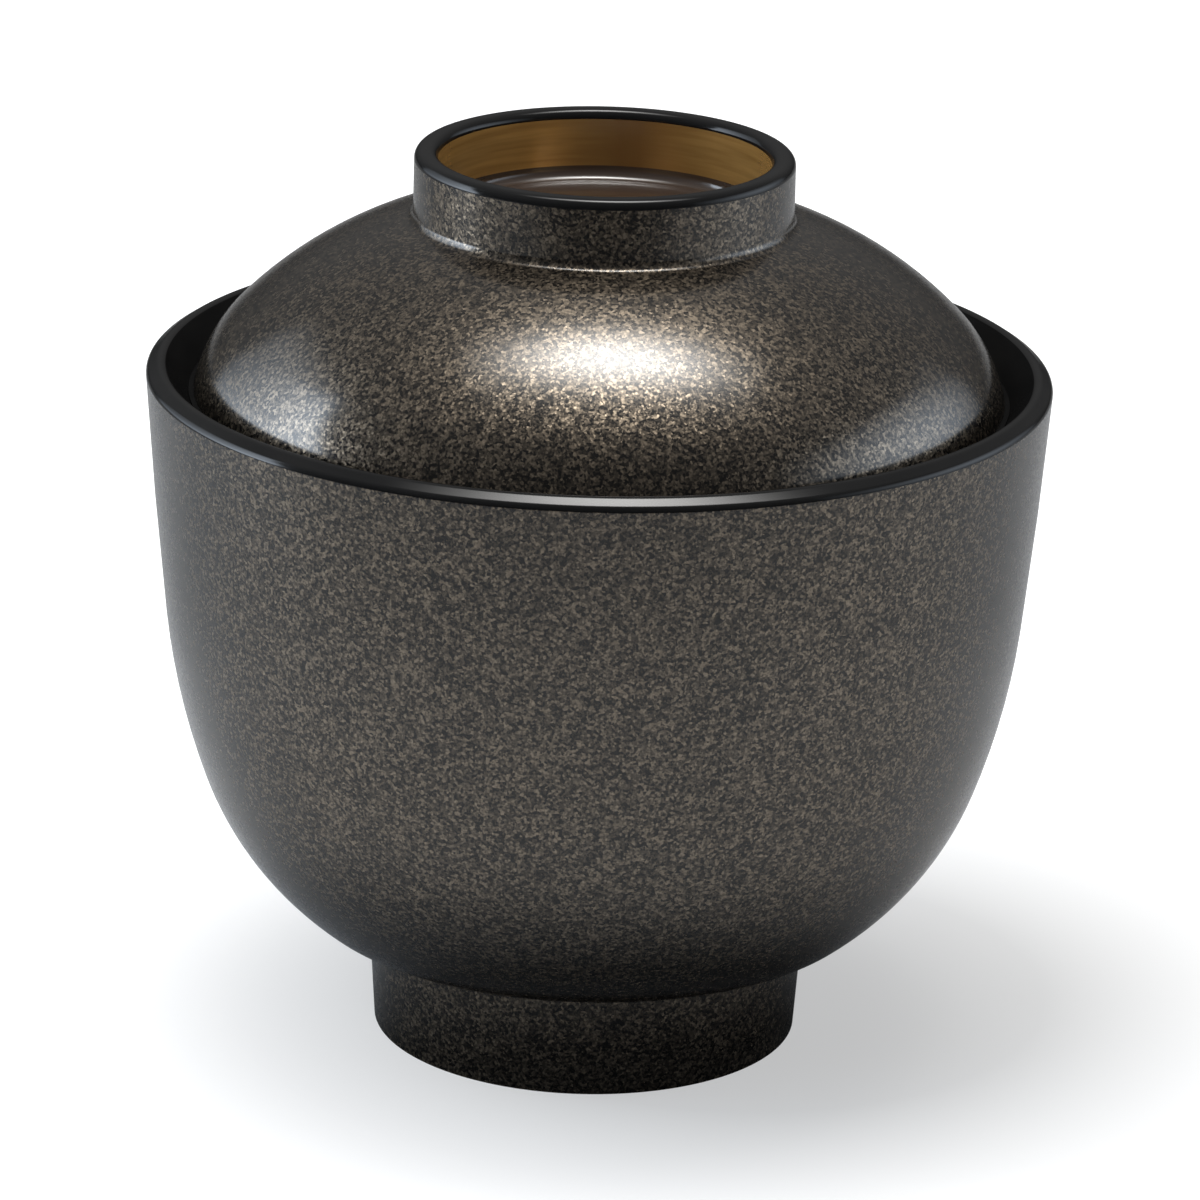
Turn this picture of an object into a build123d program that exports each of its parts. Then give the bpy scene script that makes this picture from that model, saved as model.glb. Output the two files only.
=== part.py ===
from build123d import *
import os
from math import atan2, cos, degrees, radians, sin

# A small lidded soup bowl in lacquer ware. Millimetres, +Z up, standing on z = 0, turned about the Z axis.
# Bowl and lid are each a turned wooden core with its coats of lacquer, and the lid rests inside the mouth.
# Sections are drawn on one side of the axis, with the radius as x and the height as y, then revolved.
# Each outline can be drawn at a depth under the finished surface: 0 for the lacquer, one coat for the wood.

# Bowl, outside, from the foot up
foot_base_radius = 22.5        # at the table
foot_top_radius = 23.3         # where the foot meets the belly
foot_height = 12.6
foot_root_fillet = 0.8
heel_radius = 5.0              # rounds the flat under the belly into its side
heel_turn = 38.5               # degrees
belly_radius = 34.0
belly_turn = 31.8              # degrees
flank_radius = 73.5
flank_turn = 13.7              # degrees
rim_flare = 2.14               # the rim stands out this far past the top of the flank
rim_radius = 47.0              # upper end of the wall, where the lip begins
rim_height = 71.53
lip_round = 0.8                # both edges of the lip
lip_top_width = 0.83           # flat between the two rounds
lip_top_fall = 33.5            # degrees, the lip's top slopes down to the outside

# Bowl, inside and underneath
wall_thickness = 5.9
lid_rest_angle = 38.1          # degrees from upright, the slope inside the mouth
lid_rest_round = 1.2           # lower edge of that slope
base_thickness = 4.7
recess_base_radius = 19.3      # inside of the foot ring, at the table
recess_roof_radius = 18.6
recess_fillet = 1.5

# Lid, with heights from its edge up
lid_overhang = 1.02            # the lid reaches out this far over the bowl's wall
lid_edge_thickness = 2.8
lid_edge_lean = 13.0           # degrees, the lid's wall leans in above its round edge
lid_seat_gap = 0.2             # between the lid's edge and the slope that it rests on
lid_shoulder_radius = 15.3
lid_shoulder_turn = 31.4       # degrees
lid_rise = 19.9                # to the foot of the knob
crown_thickness = 2.8          # under the knob's well

# Knob ring on the lid
knob_base_radius = 19.65
knob_top_radius = 19.6
knob_height = 7.05
knob_root_fillet = 1.0
knob_base_wall = 2.75
knob_wall = 2.4                # at the top, which is rounded over
knob_flat = 0.5                # left between the two rounds there
well_depth = 7.4
well_fillet = 1.2

# Lacquer
coat = 0.5                     # thickness of a finished coat
rim_line_rise = 0.1            # the bowl's black lip starts this far above the rim
lid_line_height = 1.4          # the lid's black edge ends this far above its lowest point
knob_line_drop = 1.0           # the knob's black lip ends this far below its top

# Larger than the object, for open ends and cutting shapes
beyond = 2 * (rim_radius + rim_height)


def heading(direction):
    """Angle of a direction in the section, in degrees from outwards."""
    return degrees(atan2(direction.Y, direction.X))


def polar(angle):
    """Unit direction at an angle in degrees from outwards."""
    return Vector(cos(radians(angle)), sin(radians(angle)))


def corner(builder, point):
    """The vertex of a sketch nearest to a point."""
    return builder.vertices().sort_by_distance(point)[0]


def shifted_line(start, end, depth):
    """A line moved to its left by a depth, as a start and an end."""
    left = (Vector(*end) - Vector(*start)).normalized().rotate(Axis.Z, 90)
    return Vector(*start) + left * depth, Vector(*end) + left * depth


def reach(radius, start, turn):
    """How far outwards an arc goes that starts at an angle from level and turns up, in degrees."""
    return radius * (sin(radians(start + turn)) - sin(radians(start)))


# The bowl's wall hangs from the rim, so its widths are set in from there, down to the flat under the belly.
flank_start = heel_turn + belly_turn
flank_foot_radius = rim_radius - rim_flare - reach(flank_radius, flank_start, flank_turn)
heel_top_radius = flank_foot_radius - reach(belly_radius, heel_turn, belly_turn)
underside_radius = heel_top_radius - reach(heel_radius, 0, heel_turn)

# The wall from its heel to the rim, where it fixes the lip and the slope that carries the lid
rim = Vector(rim_radius, rim_height)
with BuildLine():
    heel = JernArc((underside_radius, foot_height), (1, 0), heel_radius, heel_turn)
    belly = JernArc(heel @ 1, heel % 1, belly_radius, belly_turn)
    flank = JernArc(belly @ 1, belly % 1, flank_radius, flank_turn)
    wall = TangentArc(flank @ 1, rim, tangent=flank % 1)
belly_centre = belly.center_point
rim_inward = (wall % 1).rotate(Axis.Z, 90)
slope_heading = 270 - lid_rest_angle
lip_top_heading = 180 - lip_top_fall
lip_edge_turn = lip_top_heading - heading(wall % 1)
crest_turn = slope_heading - lip_top_heading
crest_centre = rim + rim_inward * lip_round + polar(lip_top_heading) * lip_top_width
slope_direction = polar(slope_heading)
slope_outward = polar(slope_heading + 90)
floor_height = belly_centre.Y - (belly_radius - wall_thickness)
recess_roof = floor_height - base_thickness


def bowl_outside(depth):
    """Outside of the bowl, filled to the axis, with the foot ending one coat lower than its wood."""
    bottom = depth - coat
    foot_low, foot_high = shifted_line((foot_base_radius, 0), (foot_top_radius, foot_height), depth)
    foot_way = (foot_high - foot_low) / foot_height
    foot_end = foot_low + foot_way * (bottom - foot_low.Y)
    sunk = foot_high + foot_way * base_thickness
    with BuildSketch() as outside:
        with BuildLine():
            under = Line((0, foot_height + depth), (underside_radius, foot_height + depth))
            low = JernArc(under @ 1, (1, 0), heel_radius - depth, heel_turn)
            round_side = JernArc(low @ 1, low % 1, belly_radius - depth, belly_turn)
            side = JernArc(round_side @ 1, round_side % 1, flank_radius - depth, flank_turn)
            upper = TangentArc(side @ 1, rim + rim_inward * depth, tangent=side % 1)
            lip_edge = JernArc(upper @ 1, upper % 1, lip_round - depth, lip_edge_turn)
            lip_top = Line(lip_edge @ 1, (lip_edge @ 1) + (lip_edge % 1) * lip_top_width)
            crest = JernArc(lip_top @ 1, lip_top % 1, lip_round - depth, crest_turn)
            Polyline(crest @ 1, (0, (crest @ 1).Y), (0, foot_height + depth))
        make_face()
        with BuildLine():
            Polyline((0, bottom), foot_end, sunk, (0, sunk.Y), close=True)
        make_face()
        fillet(corner(outside, foot_high), foot_root_fillet + depth)
    return outside.sketch


def bowl_room(depth):
    """Space inside the bowl: even wall, flat floor, and the slope in the mouth that the lid rests on."""
    shift = depth - wall_thickness
    slope_start = crest_centre + slope_outward * (depth - lip_round)
    with BuildSketch() as room:
        with BuildLine():
            floor = Line((0, floor_height - depth), (belly_centre.X, floor_height - depth))
            low = JernArc(floor @ 1, (1, 0), belly_radius + shift, heel_turn + belly_turn)
            side = JernArc(low @ 1, low % 1, flank_radius + shift, flank_turn)
            upper = TangentArc(side @ 1, rim - rim_inward * shift, tangent=side % 1)
            Polyline(upper @ 1, (0, (upper @ 1).Y), (0, floor_height - depth))
        make_face()
        slope_end = slope_start + slope_direction * (wall_thickness / sin(radians(lid_rest_angle)))
        top = slope_start.Y + beyond
        with BuildLine():
            Polyline(slope_start, slope_end, (0, slope_end.Y), (0, top), (slope_start.X, top), close=True)
        make_face()
        fillet(corner(room, slope_end), lid_rest_round - depth)
    return room.sketch


def foot_recess(depth):
    """Hollow under the foot ring, open downwards."""
    low, high = shifted_line((recess_base_radius, 0), (recess_roof_radius, recess_roof), -depth)
    way = (high - low) / recess_roof
    roof_corner = high + way * (recess_roof + depth - high.Y)
    open_end = low - way * foot_height
    with BuildSketch() as recess:
        with BuildLine():
            Polyline((0, roof_corner.Y), roof_corner, open_end, (0, open_end.Y), close=True)
        make_face()
        fillet(corner(recess, roof_corner), recess_fillet + depth)
    return recess.sketch


def bowl_section(depth):
    """The bowl from wall to wall."""
    with BuildSketch() as section:
        add(bowl_outside(depth))
        add(bowl_room(depth), mode=Mode.SUBTRACT)
        add(foot_recess(depth), mode=Mode.SUBTRACT)
    return section.sketch


# The lid's edge is rounded, and its height is where that round meets the slope in the mouth.
lid_radius = rim_radius - wall_thickness + lid_overhang
edge_round = lid_edge_thickness / 2
slope_start = crest_centre - slope_outward * lip_round
edge_radius = lid_radius - edge_round
edge_reach = (edge_radius - slope_start.X) * slope_outward.X + edge_round + lid_seat_gap
edge_centre = Vector(edge_radius, slope_start.Y - edge_reach / slope_outward.Y)
lid_edge = edge_centre.Y - edge_round

# Heights and curves of the lid that follow from its edge
shoulder_centre = edge_centre - polar(lid_edge_lean) * (lid_shoulder_radius - edge_round)
shoulder_start = edge_centre + polar(lid_edge_lean) * edge_round
knob_base = lid_edge + lid_rise
knob_top = knob_base + knob_height
well_floor = knob_top - well_depth
knob_round = (knob_wall - knob_flat) / 2
well_floor_radius = knob_base_radius - knob_base_wall
well_top_radius = knob_top_radius - knob_wall
with BuildLine():
    shoulder = JernArc(shoulder_start, polar(90 + lid_edge_lean), lid_shoulder_radius, lid_shoulder_turn)
    crown = TangentArc(shoulder @ 1, (knob_base_radius, knob_base), tangent=shoulder % 1)
crown_turn = degrees((crown.length + knob_wall) / crown.radius)

# The ceiling of the lid is an arc about the axis that runs into the shoulder's own round.
ceiling = well_floor - crown_thickness
hollow_round = lid_shoulder_radius - lid_edge_thickness
ceiling_rise = ceiling - shoulder_centre.Y
corner_reach = shoulder_centre.X**2 + ceiling_rise**2 - hollow_round**2
ceiling_radius = corner_reach / (2 * (ceiling_rise - hollow_round))
hollow_turn = heading(shoulder_centre - Vector(0, ceiling - ceiling_radius))


def lid_outside(depth):
    """Outside of the lid with its knob, filled to the axis."""
    foot, top = shifted_line((knob_base_radius, knob_base), (knob_top_radius, knob_top), depth)
    way = (top - foot) / knob_height
    sunk = foot - way * crown_thickness
    top_corner = top + way * (knob_top - depth - top.Y)
    with BuildSketch() as outside:
        with BuildLine():
            edge_bottom = edge_centre - Vector(0, edge_round - depth)
            edge = JernArc(edge_bottom, (1, 0), edge_round - depth, 90 + lid_edge_lean)
            bend = JernArc(edge @ 1, edge % 1, lid_shoulder_radius - depth, lid_shoulder_turn)
            dome = JernArc(bend @ 1, bend % 1, crown.radius - depth, crown_turn)
            Polyline(dome @ 1, (0, (dome @ 1).Y), (0, edge_bottom.Y), edge_bottom)
        make_face()
        with BuildLine():
            Polyline((0, sunk.Y), sunk, top_corner, (0, top_corner.Y), close=True)
        make_face()
        fillet(corner(outside, (knob_base_radius, knob_base)), knob_root_fillet + depth)
        fillet(corner(outside, top_corner), knob_round - depth)
    return outside.sketch


def lid_hollow(depth):
    """Space under the lid, open downwards, with the inner half of the edge's round."""
    with BuildSketch() as hollow:
        with BuildLine():
            edge_bottom = edge_centre - Vector(0, edge_round - depth)
            drop = Line((edge_radius, -beyond), edge_bottom)
            edge = JernArc(drop @ 1, (-1, 0), edge_round - depth, lid_edge_lean - 90)
            bend = JernArc(edge @ 1, edge % 1, hollow_round + depth, hollow_turn - lid_edge_lean)
            dome = JernArc(bend @ 1, bend % 1, ceiling_radius + depth, 90 - hollow_turn)
            Polyline(dome @ 1, (0, -beyond), (edge_radius, -beyond))
        make_face()
    return hollow.sketch


def knob_well(depth):
    """Space inside the knob ring, open upwards."""
    low, high = shifted_line((well_floor_radius, well_floor), (well_top_radius, knob_top), -depth)
    way = (high - low) / well_depth
    floor_corner = low + way * (well_floor - depth - low.Y)
    open_end = high + way * knob_height
    with BuildSketch() as well:
        with BuildLine():
            Polyline((0, floor_corner.Y), floor_corner, open_end, (0, open_end.Y), close=True)
        make_face()
        fillet(corner(well, floor_corner), well_fillet + depth)
    return well.sketch


def lid_section(depth):
    """The lid from wall to wall, with the inner half of the knob lip's round."""
    with BuildSketch() as section:
        add(lid_outside(depth))
        add(lid_hollow(depth), mode=Mode.SUBTRACT)
        add(knob_well(depth), mode=Mode.SUBTRACT)
        fillet(corner(section, (well_top_radius + depth, knob_top - depth)), knob_round - depth)
    return section.sketch


def zone(low, high):
    """The part of the section plane between two heights."""
    with BuildSketch() as band:
        with Locations((0, low)):
            Rectangle(beyond, high - low, align=(Align.MIN, Align.MIN))
    return band.sketch


def inside_knob():
    """The part of the section plane inside the middle of the knob's wall, from the middle of the crown up."""
    crown_middle = ceiling + crown_thickness / 2
    wall_foot = knob_base_radius - knob_base_wall / 2
    wall_top = knob_top_radius - knob_wall / 2
    with BuildSketch() as inside:
        with BuildLine():
            floor = Polyline((0, crown_middle), (wall_foot, crown_middle), (wall_foot, knob_base))
            Polyline(floor @ 1, (wall_top, knob_top), (0, knob_top), (0, crown_middle))
        make_face()
    return inside.sketch


rim_line = rim_height + rim_line_rise
lid_line = lid_edge + lid_line_height
knob_line = knob_top - knob_line_drop


# Bowl
with BuildPart() as bowl_core:
    with BuildSketch(Plane.XZ):
        add(bowl_section(coat))
    revolve(axis=Axis.Z)

with BuildPart() as bowl_outer_lacquer:
    with BuildSketch(Plane.XZ) as bowl_outer_coat:
        add(bowl_outside(0))
        add(bowl_outside(coat), mode=Mode.SUBTRACT)
        add(zone(0, rim_line), mode=Mode.INTERSECT)
    revolve(axis=Axis.Z)

with BuildPart() as foot_recess_lacquer:
    with BuildSketch(Plane.XZ) as foot_recess_coat:
        add(foot_recess(coat))
        add(foot_recess(0), mode=Mode.SUBTRACT)
        add(zone(0, floor_height), mode=Mode.INTERSECT)
    revolve(axis=Axis.Z)

with BuildPart() as bowl_inner_lacquer:
    with BuildSketch(Plane.XZ):
        add(bowl_section(0))
        add(bowl_section(coat), mode=Mode.SUBTRACT)
        add(bowl_outer_coat.sketch_local, mode=Mode.SUBTRACT)
        add(foot_recess_coat.sketch_local, mode=Mode.SUBTRACT)
        add(zone(0, beyond), mode=Mode.INTERSECT)
    revolve(axis=Axis.Z)

# Lid
with BuildPart() as lid_core:
    with BuildSketch(Plane.XZ):
        add(lid_section(coat))
    revolve(axis=Axis.Z)

with BuildPart() as lid_outer_lacquer:
    with BuildSketch(Plane.XZ) as lid_outer_coat:
        add(lid_outside(0))
        add(lid_outside(coat), mode=Mode.SUBTRACT)
        add(zone(lid_line, knob_line), mode=Mode.INTERSECT)
    revolve(axis=Axis.Z)

with BuildPart() as knob_well_lacquer:
    with BuildSketch(Plane.XZ) as knob_well_coat:
        add(lid_section(0))
        add(lid_section(coat), mode=Mode.SUBTRACT)
        add(inside_knob(), mode=Mode.INTERSECT)
        add(zone(0, knob_line), mode=Mode.INTERSECT)
    revolve(axis=Axis.Z)

with BuildPart() as knob_lip_lacquer:
    with BuildSketch(Plane.XZ) as knob_lip_coat:
        add(lid_section(0))
        add(lid_section(coat), mode=Mode.SUBTRACT)
        add(zone(knob_line, knob_top), mode=Mode.INTERSECT)
    revolve(axis=Axis.Z)

with BuildPart() as lid_inner_lacquer:
    with BuildSketch(Plane.XZ):
        add(lid_section(0))
        add(lid_section(coat), mode=Mode.SUBTRACT)
        add(lid_outer_coat.sketch_local, mode=Mode.SUBTRACT)
        add(knob_well_coat.sketch_local, mode=Mode.SUBTRACT)
        add(knob_lip_coat.sketch_local, mode=Mode.SUBTRACT)
    revolve(axis=Axis.Z)

pieces = {
    "bowl_core": bowl_core,
    "bowl_outer_lacquer": bowl_outer_lacquer,
    "bowl_inner_lacquer": bowl_inner_lacquer,
    "foot_recess_lacquer": foot_recess_lacquer,
    "lid_core": lid_core,
    "lid_outer_lacquer": lid_outer_lacquer,
    "lid_inner_lacquer": lid_inner_lacquer,
    "knob_lip_lacquer": knob_lip_lacquer,
    "knob_well_lacquer": knob_well_lacquer,
}
os.makedirs("parts", exist_ok=True)
for name, piece in pieces.items():
    piece.part.label = name
    export_step(piece.part, f"parts/{name}.step")
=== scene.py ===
from math import atan2, copysign, cos, degrees, e, pi, radians, sin, tan

import bpy
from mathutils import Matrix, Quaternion, Vector


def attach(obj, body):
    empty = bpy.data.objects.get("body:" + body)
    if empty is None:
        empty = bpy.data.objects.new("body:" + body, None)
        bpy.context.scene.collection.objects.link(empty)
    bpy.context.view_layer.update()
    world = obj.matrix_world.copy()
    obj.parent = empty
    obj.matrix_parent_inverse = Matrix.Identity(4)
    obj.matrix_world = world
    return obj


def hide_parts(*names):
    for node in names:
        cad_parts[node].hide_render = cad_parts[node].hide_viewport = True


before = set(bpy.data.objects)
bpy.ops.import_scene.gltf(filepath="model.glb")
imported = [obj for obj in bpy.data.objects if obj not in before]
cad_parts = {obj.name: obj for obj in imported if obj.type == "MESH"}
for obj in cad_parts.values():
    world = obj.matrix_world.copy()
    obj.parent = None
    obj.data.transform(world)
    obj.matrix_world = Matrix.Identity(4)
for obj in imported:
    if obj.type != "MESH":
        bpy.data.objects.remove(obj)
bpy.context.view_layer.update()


# The bowl's core is one piece of wood, turned on a lathe with its foot and sealed under lacquer all over.
# Only the flat edge that it stands on has no thick coat, and that is brushed with thin black lacquer.
mm = 0.001


class Wire:
    """What leaves a node of a material, so that sums between nodes are written as sums."""

    def __init__(self, tree, socket):
        self.tree = tree
        self.socket = socket

    def add(self, kind, settings, sockets, output=0):
        """Adds any node: first its settings, such as a ramp's stops, and then what its sockets take."""
        node = self.tree.nodes.new(kind)
        for name, value in settings.items():
            if name == "stops":
                for place, colour in value[2:]:
                    node.color_ramp.elements.new(place)
                for stop, (place, colour) in zip(node.color_ramp.elements, value):
                    stop.position = place
                    stop.color = (*colour, 1)
            else:
                setattr(node, name, value)
        for name, value in sockets.items():
            if isinstance(value, Wire):
                self.tree.links.new(value.socket, node.inputs[name])
            else:
                node.inputs[name].default_value = value
        if node.outputs:
            return Wire(self.tree, node.outputs[output])

    def sum(self, operation, first, second):
        """Adds a Math node."""
        return self.add("ShaderNodeMath", {"operation": operation}, {0: first, 1: second})

    def __add__(self, other):
        return self.sum("ADD", self, other)

    def __sub__(self, other):
        return self.sum("SUBTRACT", self, other)

    def __rsub__(self, other):
        return self.sum("SUBTRACT", other, self)

    def __mul__(self, other):
        return self.sum("MULTIPLY", self, other)

    def __gt__(self, other):
        return self.sum("GREATER_THAN", self, other)

    def __lt__(self, other):
        return self.sum("LESS_THAN", self, other)

    def __rpow__(self, other):
        return self.sum("POWER", other, self)

    __radd__ = __add__
    __rmul__ = __mul__


def new_finish(name):
    """An empty material, and the place of a point on its piece."""
    material = bpy.data.materials.new(name)
    material.use_nodes = True
    tree = material.node_tree
    tree.nodes.clear()
    return material, Wire(tree, tree.nodes.new("ShaderNodeTexCoord").outputs["Object"])


def shaded(place, sockets):
    """Ends a material with one shader."""
    surface = place.add("ShaderNodeBsdfPrincipled", {}, sockets)
    place.add("ShaderNodeOutputMaterial", {}, {"Surface": surface})


def noise(place, size, detail=2.0):
    """Cloudy variation between 0 and 1, with patches of a size in metres."""
    return place.add("ShaderNodeTexNoise", {}, {"Vector": place, "Scale": 1 / size, "Detail": detail})


def blend(factor, first, second):
    """A colour between two colours."""
    mix = {"data_type": "RGBA"}
    return factor.add("ShaderNodeMix", mix, {0: factor, 6: first, 7: second}, output=2)


def turned_wood():
    """Fine-grained wood with the growth rings of a blank cut along the grain, sealed at the foot's edge."""
    early_wood = (0.46, 0.30, 0.17, 1)
    late_wood = (0.30, 0.17, 0.085, 1)
    foot_black = (0.006, 0.006, 0.006, 1)
    ring_width = 10.05 * mm
    unscaled_wave = pi / 10
    pore_size = 0.35 * mm
    pore_shape = (0.06, 1, 1)
    pore_share = 0.3
    brushed_height = 0.1 * mm
    wood_roughness, brushed_roughness = 0.55, 0.25
    material, place = new_finish("turned_wood")
    rings = place.add("ShaderNodeTexWave", {"wave_type": "BANDS", "bands_direction": "Y"}, {
        "Vector": place,
        "Scale": unscaled_wave / ring_width,
        "Distortion": 5.0,
        "Detail": 3.0,
        "Detail Scale": 0.6,
    })
    long_pores = place.add("ShaderNodeMapping", {}, {"Vector": place, "Scale": pore_shape})
    pores = noise(long_pores, pore_size)
    height = place.add("ShaderNodeSeparateXYZ", {}, {"Vector": place}, output="Z")
    brushed = height < brushed_height
    grain = blend(rings * (1 - pore_share) + pores * pore_share, early_wood, late_wood)
    normal = place.add("ShaderNodeBump", {}, {"Height": pores, "Strength": 0.3, "Distance": 0.05 * mm})
    shaded(place, {
        "Base Color": blend(brushed, grain, foot_black),
        "Roughness": wood_roughness - brushed * (wood_roughness - brushed_roughness),
        "Normal": normal,
    })
    return material


def dressed(node, material):
    """Gives a node of the frame a finish of its own."""
    node.data.materials.clear()
    node.data.materials.append(material)


wood = turned_wood()
dressed(bpy.data.objects["bowl_core"], wood)


# The outside of the bowl, from the edge of the foot to the rim, is the speckled coat. Metal powder is strewn
# on wet black lacquer, sealed under clear lacquer and polished. It is bonded to the wood all over.
coat = 0.5
foot_base_radius = 22.5
foot_top = Vector((23.3, 12.6))
foot_root_fillet = 0.8
underside_radius = 27.0
heel_radius, heel_turn = 5.0, 38.5
belly_radius, belly_turn = 34.0, 31.8
flank_radius, flank_turn = 73.5, 13.7
rim = Vector((47.0, 71.53))
lip_round = 0.8
rim_line_turn = 7.17           # degrees of the lip's round that the speckled coat covers
arc_step = 2.0                 # degrees of an arc between two points of a section
turn_steps = 192               # points round the axis
sharp_angle = radians(40)


def polar(angle):
    """The direction in a section at an angle in degrees from outwards."""
    return Vector((cos(radians(angle)), sin(radians(angle))))


def heading_of(step):
    """The angle of a step in a section, in degrees from outwards."""
    return degrees(atan2(step.y, step.x))


class Section:
    """A line drawn in millimetres on one side of the axis, radius and height, and then turned on the axis."""

    def __init__(self, name, start, heading=0.0):
        bpy.ops.object.select_all(action="DESELECT")
        bpy.ops.mesh.primitive_plane_add(size=mm)
        self.piece = bpy.context.object
        self.piece.name = name
        bpy.ops.object.mode_set(mode="EDIT")
        bpy.ops.mesh.merge(type="CENTER")
        self.place = Vector(start)
        self.heading = heading
        bpy.ops.transform.translate(value=self.in_space(self.place))

    def in_space(self, point):
        return point.x * mm, 0, point.y * mm

    def line(self, end):
        """A straight stretch to a point."""
        step = Vector(end) - self.place
        bpy.ops.mesh.extrude_region_move(TRANSFORM_OT_translate={"value": self.in_space(step)})
        self.place = Vector(end)
        self.heading = heading_of(step)

    def bend(self, radius, turn):
        """An arc that carries on from the last stretch, to the left where its turn in degrees is positive."""
        side = copysign(90, turn)
        centre = self.place + polar(self.heading + side) * radius
        steps = max(2, round(abs(turn) / arc_step))
        middle = self.in_space(centre)
        bpy.ops.mesh.spin(steps=steps, angle=radians(turn), center=middle, axis=(0, 1, 0))
        self.heading += turn
        self.place = centre - polar(self.heading + side) * radius

    def reach(self, end):
        """An arc that carries on from the last stretch to a point."""
        step = Vector(end) - self.place
        lean = (heading_of(step) - self.heading + 180) % 360 - 180
        self.bend(step.length / (2 * sin(radians(abs(lean)))), 2 * lean)

    def corner(self, point, onward, fillet):
        """A straight stretch to a corner, which is rounded towards the next point."""
        before = Vector(point) - self.place
        turn = (heading_of(Vector(onward) - Vector(point)) - heading_of(before) + 180) % 360 - 180
        self.line(Vector(point) - before.normalized() * (fillet * tan(radians(abs(turn) / 2))))
        self.bend(fillet, turn)

    def turned(self, cup=False):
        """Turns the section on the axis into a coat. A cup shows the side that faces the axis."""
        bpy.ops.mesh.select_all(action="SELECT")
        bpy.ops.mesh.spin(steps=turn_steps, angle=2 * pi, center=(0, 0, 0), axis=(0, 0, 1))
        bpy.ops.mesh.select_all(action="SELECT")
        bpy.ops.mesh.remove_doubles(threshold=0.001 * mm)
        bpy.ops.mesh.normals_make_consistent(inside=cup)
        bpy.ops.object.mode_set(mode="OBJECT")
        wall = self.piece.modifiers.new("coat", "SOLIDIFY")
        wall.thickness = coat * mm
        wall.offset = -1
        wall.use_even_offset = True
        bpy.ops.object.modifier_apply(modifier=wall.name)
        bpy.ops.object.shade_smooth_by_angle(angle=sharp_angle)
        return self.piece


def laid_on(piece, body, material):
    """Bonds a coat to its body in place of the plain solid of the same name."""
    piece.data.materials.append(material)
    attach(piece, body)
    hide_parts(piece.name.removesuffix("_finish"))


def speckled_lacquer():
    """Bronze powder in black under clear lacquer. Each grain has its own shade and its own slight tilt."""
    grain_size = 0.31 * mm
    dust_size = 0.20 * mm
    bare = (0.006, 0.005, 0.004)
    bronze = (0.080, 0.064, 0.047)
    champagne = (0.26, 0.208, 0.150)
    dust_share = 0.35
    draw_middle = (0.5, 0.5, 0.5)
    tilt = 0.17
    patch_size = 6 * mm
    material, place = new_finish("speckled_lacquer")
    chance = place.add("ShaderNodeTexVoronoi", {}, {"Vector": place, "Scale": 1 / grain_size}, output="Color")
    dust = place.add("ShaderNodeTexVoronoi", {}, {"Vector": place, "Scale": 1 / dust_size}, output="Color")
    draw = place.add("ShaderNodeSeparateColor", {}, {"Color": chance}, output="Red")
    dust_draw = place.add("ShaderNodeSeparateColor", {}, {"Color": dust}, output="Green")
    stops = [(0.0, bare), (0.25, bare), (0.6, bronze), (1.0, champagne)]
    mixed = draw * (1 - dust_share) + dust_draw * dust_share
    shade = place.add("ShaderNodeValToRGB", {"stops": stops}, {"Fac": mixed})
    patches = noise(place, patch_size)
    centred = place.add("ShaderNodeVectorMath", {"operation": "SUBTRACT"}, {0: dust, 1: draw_middle})
    lean = place.add("ShaderNodeVectorMath", {"operation": "SCALE"}, {0: centred, "Scale": tilt})
    upright = place.add("ShaderNodeNewGeometry", {}, {}, output="Normal")
    leaning = place.add("ShaderNodeVectorMath", {"operation": "ADD"}, {0: upright, 1: lean})
    normal = place.add("ShaderNodeVectorMath", {"operation": "NORMALIZE"}, {0: leaning})
    shaded(place, {
        "Base Color": shade,
        "Metallic": 0.85,
        "Roughness": 0.30 + patches * 0.08,
        "Specular Tint": (0.12, 0.12, 0.12, 1),
        "Normal": normal,
        "Coat Weight": 1.0,
        "Coat Roughness": 0.17,
    })
    return material


outside = Section("bowl_outer_lacquer_finish", (foot_base_radius, 0))
outside.corner(foot_top, (underside_radius, foot_top.y), foot_root_fillet)
outside.line((underside_radius, foot_top.y))
outside.bend(heel_radius, heel_turn)
outside.bend(belly_radius, belly_turn)
outside.bend(flank_radius, flank_turn)
outside.reach(rim)
rim_heading = outside.heading
outside.bend(lip_round, rim_line_turn)
speckle = speckled_lacquer()
laid_on(outside.turned(), "bowl", speckle)


# The inside of the bowl and its lip are polished black lacquer, brushed on in layers and rubbed to a gloss.
# It runs from the middle of the floor up the wall, over the slope that the lid rests on, to the rim outside.
wall_thickness = 5.9
lip_top_width, lip_top_fall = 0.83, 33.5
slope_heading = 51.9
slope_foot = Vector((40.785, 66.975))
slope_foot_round = 1.2
belly_centre = Vector((8.951, 40.296))
inner_belly_radius = belly_radius - wall_thickness


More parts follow.
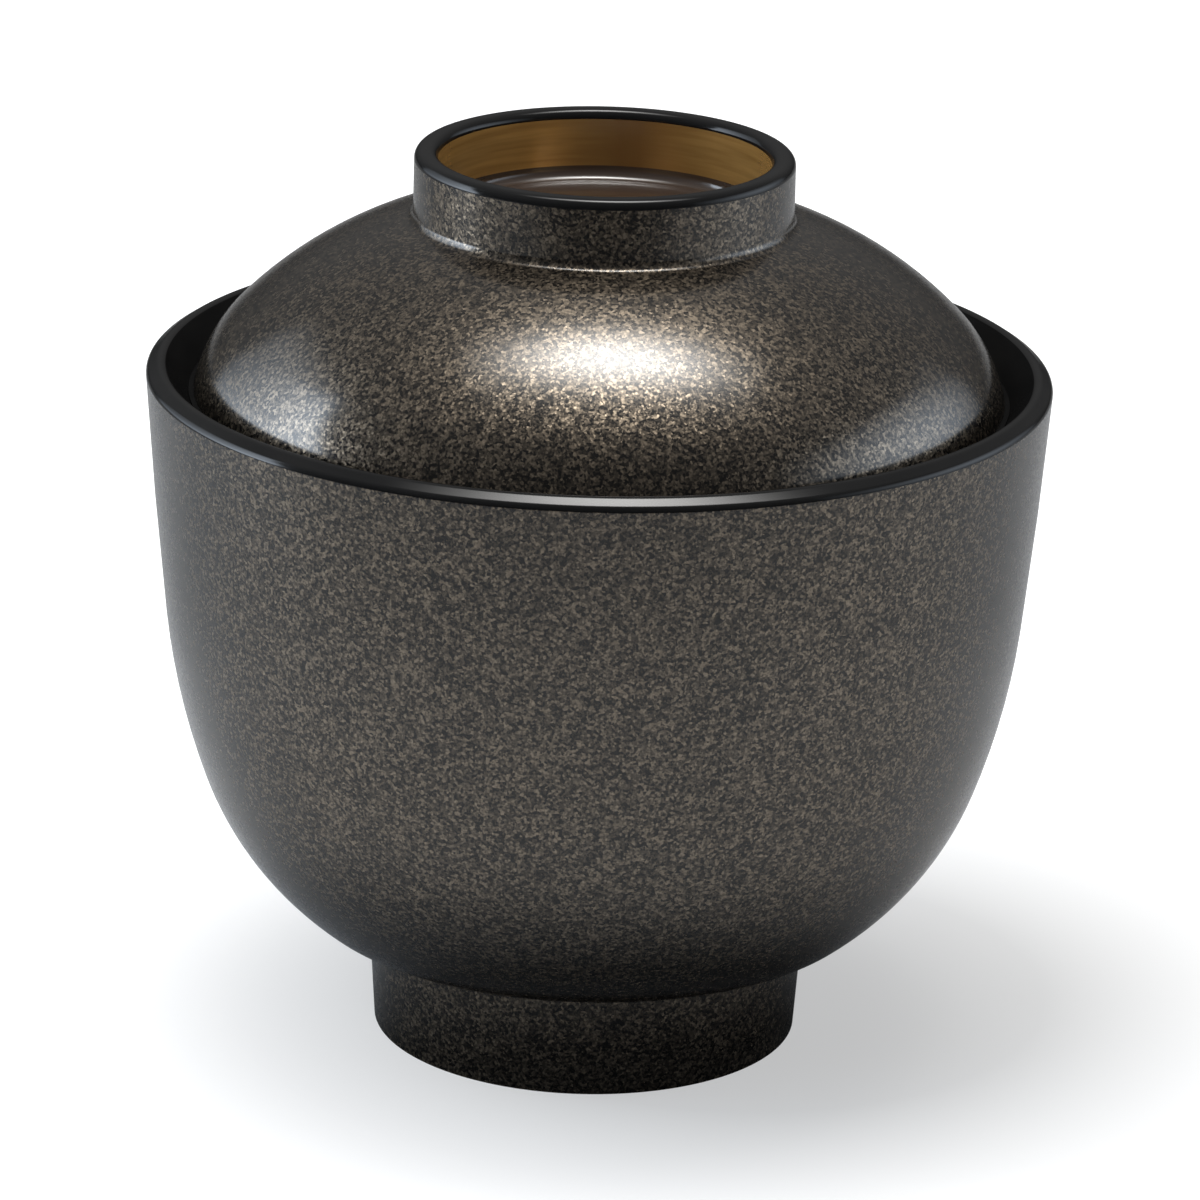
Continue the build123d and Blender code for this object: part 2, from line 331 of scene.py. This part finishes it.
def black_lacquer():
    """Deep black under a clear polish with faint wiping marks, and left dull on the slope in the mouth."""
    deep_black = (0.0045, 0.0045, 0.0048, 1)
    worn_black = (0.009, 0.0088, 0.0085, 1)
    mark_size, mark_shape = 9 * mm, (1, 1, 4)
    ripple_size = 14 * mm
    polish = 0.5
    slope_inside, slope_outside = 40.8 * mm, 45.0 * mm
    slope_low, slope_high = 66.9 * mm, 73.0 * mm
    material, place = new_finish("black_lacquer")
    height = place.add("ShaderNodeSeparateXYZ", {}, {"Vector": place}, output="Z")
    level = place.add("ShaderNodeVectorMath", {"operation": "MULTIPLY"}, {0: place, 1: (1, 1, 0)})
    from_axis = place.add("ShaderNodeVectorMath", {"operation": "LENGTH"}, {0: level}, output="Value")
    band = (from_axis > slope_inside) * (from_axis < slope_outside)
    dull = band * (height > slope_low) * (height < slope_high)
    wiping = place.add("ShaderNodeMapping", {}, {"Vector": place, "Scale": mark_shape})
    marks = noise(wiping, mark_size, detail=6.0)
    ripple = noise(place, ripple_size)
    normal = place.add("ShaderNodeBump", {}, {"Height": ripple, "Strength": 0.15, "Distance": 0.1 * mm})
    shaded(place, {
        "Base Color": blend(marks, deep_black, worn_black),
        "Roughness": 0.3 + marks * 0.2,
        "Specular IOR Level": 0.0,
        "Normal": normal,
        "Coat Weight": polish + marks * 0.1 - dull * polish,
        "Coat Roughness": 0.13,
    })
    return material


lip_edge_centre = rim + polar(rim_heading + 90) * lip_round
crest_centre = lip_edge_centre + polar(180 - lip_top_fall) * lip_top_width
inside = Section("bowl_inner_lacquer_finish", (0, belly_centre.y - inner_belly_radius))
inside.line((belly_centre.x, belly_centre.y - inner_belly_radius))
inside.bend(inner_belly_radius, heel_turn + belly_turn)
inside.bend(flank_radius - wall_thickness, flank_turn)
inside.reach(slope_foot)
inside.bend(slope_foot_round, slope_heading - inside.heading)
inside.line(crest_centre + polar(slope_heading + 90) * lip_round)
inside.bend(lip_round, -lip_top_fall - slope_heading)
inside.line(lip_edge_centre + polar(90 - lip_top_fall) * lip_round)
inside.bend(lip_round, rim_heading + rim_line_turn - 180 + lip_top_fall)
black = black_lacquer()
laid_on(inside.turned(), "bowl", black)


# The hollow under the foot is cut on the lathe, shallow and with a flat roof, and coated in the same black.
# Its coat ends at the inner edge of the foot.
recess_base_radius = 19.3
recess_roof = Vector((18.6, 7.496))
recess_fillet = 1.5
recess = Section("foot_recess_lacquer_finish", (recess_base_radius, 0))
recess.corner(recess_roof, (0, recess_roof.y), recess_fillet)
recess.line((0, recess_roof.y))
laid_on(recess.turned(cup=True), "bowl", black)


# The lid's core is turned from the same wood, in one with the ring that the lid is lifted by.
# Lacquer covers it on every side, so none of the wood shows.
dressed(bpy.data.objects["lid_core"], wood)


# The underside of the lid and its round edge are black as the bowl's inside is. The edge rests on the slope
# in the mouth, and the black ends where the edge is widest, which is where the speckled coat begins.
lid_line = Vector((42.12, 69.819))
lid_edge_round = 1.4
lid_edge_lean = 13.0
hollow_round, hollow_turn = 12.5, 65.193
ceiling_radius = 77.273
underside = Section("lid_inner_lacquer_finish", lid_line, heading=-90.0)
underside.bend(lid_edge_round, lid_edge_lean - 180)
underside.bend(hollow_round, hollow_turn - lid_edge_lean)
underside.bend(ceiling_radius, 90 - hollow_turn)
laid_on(underside.turned(), "lid", black)


# The lid's dome and the outer wall of its ring have the speckled coat, strewn and polished as on the bowl.
# A small round fills the corner where the ring stands on the dome.
shoulder_radius, shoulder_turn = 15.3, 31.4
dome_top = Vector((20.358, 88.114))
ring_base = Vector((19.65, 88.319))
ring_top = Vector((19.6, 95.369))
ring_root_fillet = 1.0
ring_line = 94.369
ring_way = (ring_top - ring_base) / (ring_top.y - ring_base.y)
ring_line_outside = ring_base + ring_way * (ring_line - ring_base.y)
dome = Section("lid_outer_lacquer_finish", lid_line, heading=90.0)
dome.bend(lid_edge_round, lid_edge_lean)
dome.bend(shoulder_radius, shoulder_turn)
dome.reach(dome_top)
dome.bend(ring_root_fillet, heading_of(ring_way) - dome.heading)
dome.line(ring_line_outside)
laid_on(dome.turned(), "lid", speckle)


# The well inside the ring is finished in transparent amber lacquer over a gold ground. The brush went round
# with the work, so its streaks run round the wall. The floor of the well is darker. A band of painted shade
# runs down the middle of the wall, front and back.
well_floor = Vector((16.9, 87.969))
well_top = Vector((17.2, 95.369))
well_fillet = 1.2
well_way = (well_top - well_floor) / (well_top.y - well_floor.y)
ring_line_inside = well_floor + well_way * (ring_line - well_floor.y)


def amber_lacquer():
    """Brown-gold with fine streaks round the axis, darker on the floor and in a band of painted shade."""
    gold = (0.70, 0.41, 0.12, 1)
    brown = (0.26, 0.13, 0.037, 1)
    floor_brown = (0.045, 0.028, 0.019, 1)
    wall_foot = 89.4 * mm
    painted_band_middle, painted_band_core, painted_band_end = 2.5 * mm, 1.0 * mm, 9.0 * mm
    stroke_width, stroke_shape = 0.5 * mm, (0.05, 0.05, 1)
    material, place = new_finish("amber_lacquer")
    height = place.add("ShaderNodeSeparateXYZ", {}, {"Vector": place}, output="Z")
    long_strokes = place.add("ShaderNodeMapping", {}, {"Vector": place, "Scale": stroke_shape})
    streaks = noise(long_strokes, stroke_width, detail=4.0)
    across = place.add("ShaderNodeSeparateXYZ", {}, {"Vector": place}, output="X")
    # Painted shade: the streaks are dimmed towards the brown in a band down the middle of the wall, front and
    # back.
    from_painted_band = place.add("ShaderNodeMath", {"operation": "ABSOLUTE"}, {0: across - painted_band_middle})
    painted_band_span = {"Value": from_painted_band, "From Min": painted_band_core, "From Max": painted_band_end}
    painted_band_fade = place.add("ShaderNodeMapRange", {}, painted_band_span)
    wall = blend(streaks * painted_band_fade, brown, gold)
    on_wall = height > wall_foot
    normal = place.add("ShaderNodeBump", {}, {"Height": streaks, "Strength": 0.3, "Distance": 0.04 * mm})
    shaded(place, {
        "Base Color": blend(on_wall, floor_brown, wall),
        "Metallic": on_wall * 0.5,
        "Roughness": 0.16 + streaks * 0.14,
        "Normal": normal,
        "Coat Weight": 0.6,
        "Coat Roughness": 0.08,
    })
    return material


well = Section("knob_well_lacquer_finish", ring_line_inside)
well.corner(well_floor, (0, well_floor.y), well_fillet)
well.line((0, well_floor.y))
laid_on(well.turned(cup=True), "lid", amber_lacquer())


# The lip of the ring is black lacquer again, brushed on last over both of the ring's edges.
# It meets the speckled coat on the outer wall and the amber in the well.
ring_round = 0.95
lip = Section("knob_lip_lacquer_finish", ring_line_outside)
lip.corner(ring_top, well_top, ring_round)
lip.corner(well_top, well_floor, ring_round)
lip.line(ring_line_inside)
laid_on(lip.turned(), "lid", black)


# The stage is a pale table under a soft light overhead, with a bright panel on the left, a dim one on the
# right and a fill in front that leaves no gloss. The table ends a forearm in front of the bowl. To the camera
# it glows, with a shadow painted into its glow round the foot. In the gloss of the lacquer it is darker, with
# painted shade near the foot and behind it, and painted light to the right.
table_front, table_back, table_side = -0.30, 1.6, 1.2
painted_shadow_middle, painted_shadow_core, painted_shadow_reach = (0.016, 0.008, 0), 0.034, 0.085
painted_shadow_grey, white = (0.465, 0.465, 0.465, 1), (1.0, 1.0, 1.0, 1)
painted_gloss_shade_middle, painted_gloss_shade_reach = (0.003, -0.010, 0), 0.25
painted_gloss_shade_greys = [(0.09, 0.09), (0.15, 0.37), (0.24, 0.55), (0.50, 0.59), (0.62, 0.48)]    # share of reach, grey
back_start, back_end, painted_shade_behind = -0.04, 0.08, 0.25
right_start, right_end, painted_light_right = 0.05, 0.20, 0.2
bpy.ops.object.select_all(action="DESELECT")
bpy.ops.mesh.primitive_plane_add(size=1)
table = bpy.context.object
table.name = "table"
table.scale = (2 * table_side, table_back - table_front, 1)
table.location = (0, (table_back + table_front) / 2, 0)
bpy.ops.object.transform_apply(location=True, rotation=False, scale=True)
pale, place = new_finish("pale_table")
apart = {"operation": "DISTANCE"}
# Painted shadow: the table's glow, which only the camera sees, is grey round the foot and white further out.
from_painted_shadow = place.add("ShaderNodeVectorMath", apart, {0: place, 1: painted_shadow_middle}, output="Value")
span = {"Value": from_painted_shadow, "From Min": painted_shadow_core, "From Max": painted_shadow_reach}
outside_painted_shadow = place.add("ShaderNodeMapRange", {}, span)
depth = place.add("ShaderNodeSeparateXYZ", {}, {"Vector": place}, output="Y")
behind = place.add("ShaderNodeMapRange", {}, {"Value": depth, "From Min": back_start, "From Max": back_end})
# Painted shade and light: the table's colour in the lacquer's gloss is darker near the foot and behind,
# lighter to the right.
from_painted_gloss_shade = place.add("ShaderNodeVectorMath", apart, {0: place, 1: painted_gloss_shade_middle}, output="Value")
stops = [(share, (grey, grey, grey)) for share, grey in painted_gloss_shade_greys]
painted_gloss_ramp = place.add("ShaderNodeValToRGB", {"stops": stops}, {"Fac": from_painted_gloss_shade * (1 / painted_gloss_shade_reach)})
across = place.add("ShaderNodeSeparateXYZ", {}, {"Vector": place}, output="X")
right = place.add("ShaderNodeMapRange", {}, {"Value": across, "From Min": right_start, "From Max": right_end})
dimming = 1.0 - behind * painted_shade_behind + right * painted_light_right
in_gloss = place.add("ShaderNodeVectorMath", {"operation": "SCALE"}, {0: painted_gloss_ramp, "Scale": dimming})
plain = place.add("ShaderNodeBsdfDiffuse", {}, {"Color": in_gloss})
bright = place.add("ShaderNodeBsdfPrincipled", {}, {
    "Base Color": (0.30, 0.30, 0.30, 1),
    "Roughness": 1.0,
    "Specular IOR Level": 0.0,
    "Emission Color": blend(outside_painted_shadow, painted_shadow_grey, white),
    "Emission Strength": 1.0,
})
seen = place.add("ShaderNodeLightPath", {}, {}, output="Is Camera Ray")
both = place.add("ShaderNodeMixShader", {}, {"Fac": seen, 1: plain, 2: bright})
place.add("ShaderNodeOutputMaterial", {}, {"Surface": both})
table.data.materials.append(pale)


def panel(name, centre, direction, width, height, radiance, colour, fade):
    """A soft box that the camera doesn't see. Its fade takes metres from its middle, across and up."""
    light = bpy.data.lights.new(name, "AREA")
    light.shape = "RECTANGLE"
    light.size = width
    light.size_y = height
    light.energy = radiance * pi * width * height
    light.color = colour
    light.use_nodes = True
    tree = light.node_tree
    tree.nodes.clear()
    spot = Wire(tree, tree.nodes.new("ShaderNodeNewGeometry").outputs["Parametric"])
    across = spot.add("ShaderNodeSeparateXYZ", {}, {"Vector": spot}, output="X")
    up = spot.add("ShaderNodeSeparateXYZ", {}, {"Vector": spot}, output="Y")
    strength = fade((across - 0.5) * width, (up - 0.5) * height)
    glow = spot.add("ShaderNodeEmission", {}, {"Strength": strength})
    spot.add("ShaderNodeOutputLight", {}, {"Surface": glow})
    stand = bpy.data.objects.new(name, light)
    stand.location = centre
    stand.rotation_mode = "QUATERNION"
    stand.rotation_quaternion = Vector(direction).to_track_quat("-Z", "Y")
    stand.visible_camera = False
    bpy.context.collection.objects.link(stand)
    return stand


def soft_pool(across_spread, up_spread):
    """A fade that is brightest in the middle and soft all round."""
    def fade(across, up):
        wide = across * (1 / across_spread)
        high = up * (1 / up_spread)
        return e ** (0 - wide * wide - high * high)
    return fade


def swept(across, up):
    """A fade that starts at an edge to the front, which leans back, and dies away behind, above and below."""
    edge_place, flat_width = 0.183, 0.066
    fall = 0.11
    lean_from, lean = -0.054, 0.5
    edge_softness = 0.012
    top_start, top_end = 0.076, 0.156
    low_end, low_start = -0.154, -0.112
    glow_low, glow_high, glow = -0.094, -0.054, 1.4
    back = edge_place - across
    leaned = up.sum("MAXIMUM", up - lean_from, 0.0) * lean
    edge = up.add("ShaderNodeMapRange", {}, {"Value": back - leaned, "From Max": edge_softness})
    top = up.add("ShaderNodeMapRange", {}, {"Value": up, "From Min": top_end, "From Max": top_start})
    low = up.add("ShaderNodeMapRange", {}, {"Value": up, "From Min": low_end, "From Max": low_start})
    span = {"Value": up, "From Min": glow_low, "From Max": glow_high, "To Min": glow, "To Max": 1.0}
    brighter = up.add("ShaderNodeMapRange", {}, span)
    depth = up.sum("MAXIMUM", back - flat_width, 0.0)
    return e ** (depth * (-1 / fall)) * edge * top * low * brighter


cool = (0.78, 0.88, 1.0)
warm = (1.0, 0.99, 0.97)
panel("overhead", centre=(0.045, 0.045, 1.0), direction=(0, 0, -1), width=0.90, height=0.70,
      radiance=22.5, colour=warm, fade=soft_pool(0.255, 0.130))
panel("left_panel", centre=(-0.30, 0.117, 0.184), direction=(1, 0, 0), width=0.366, height=0.312,
      radiance=7.4, colour=cool, fade=swept)
panel("right_panel", centre=(0.36, 0.04, 0.155), direction=(-1, 0, 0), width=0.60, height=0.30,
      radiance=2.8, colour=cool, fade=soft_pool(0.20, 0.12))
fill = panel("fill", centre=(-0.50, -0.50, 0.55), direction=(0.50, 0.45, -0.55), width=0.50, height=0.50,
             radiance=5.0, colour=cool, fade=soft_pool(0.25, 0.25))
fill.visible_glossy = False

room_glow, ceiling_glow, back_glow = 0.06, 0.30, 0.2
world = bpy.data.worlds.new("studio")
world.use_nodes = True
tree = world.node_tree
tree.nodes.clear()
sky_place = Wire(tree, tree.nodes.new("ShaderNodeTexCoord").outputs["Generated"])
behind = sky_place.add("ShaderNodeSeparateXYZ", {}, {"Vector": sky_place}, output="Y")
height = sky_place.add("ShaderNodeSeparateXYZ", {}, {"Vector": sky_place}, output="Z")
seen = sky_place.add("ShaderNodeLightPath", {}, {}, output="Is Camera Ray")
strength = room_glow + sky_place.sum("MAXIMUM", height, 0.0) * (ceiling_glow + behind * back_glow) + seen
sky = sky_place.add("ShaderNodeBackground", {}, {"Color": white, "Strength": strength})
sky_place.add("ShaderNodeOutputWorld", {}, {"Surface": sky})
scene = bpy.context.scene
scene.world = world
scene.view_settings.view_transform = "Standard"


# The camera is a long lens in front of the bowl, about 19 degrees above level, and aimed at its middle.
# It is rolled by a degree and a half.
photo_width = 1200
focal_pixels = 6095
camera_place = Vector((0.00063, -0.6067, 0.2535))
camera_aim = Vector((0.00063, 0.0, 0.04673))
camera_roll = radians(1.468)
lens = bpy.data.cameras.new("camera")
lens.sensor_width = 36.0
lens.lens = lens.sensor_width * focal_pixels / photo_width
camera = bpy.data.objects.new("camera", lens)
camera.location = camera_place
camera.rotation_mode = "QUATERNION"
level = (camera_aim - camera_place).to_track_quat("-Z", "Y")
camera.rotation_quaternion = level @ Quaternion((0, 0, 1), camera_roll)
bpy.context.collection.objects.link(camera)
scene.camera = camera
